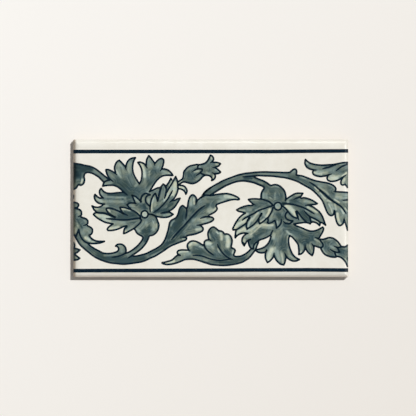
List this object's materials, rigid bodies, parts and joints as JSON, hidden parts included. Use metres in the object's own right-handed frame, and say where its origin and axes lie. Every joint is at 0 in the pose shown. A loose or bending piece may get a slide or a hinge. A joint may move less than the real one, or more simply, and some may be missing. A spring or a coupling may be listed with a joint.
{
  "type": "border tile",
  "caption": "Rectangular glazed ceramic border tile with softly rolled edges, a keyed back and a painted acanthus scroll between dark lines.",
  "frame": {"origin": "middle of the tile's back", "axes": "+X along the border, +Y up the wall, +Z out of the decorated face"},
  "size_m": [0.152, 0.076, 0.0075],
  "materials": {
    "glaze": "gloss cream glaze on the face, painted in slate green and navy, over a matte biscuit back"
  },
  "bodies": {
    "root": {"border_tile": "glaze"}
  },
  "joints": []
}
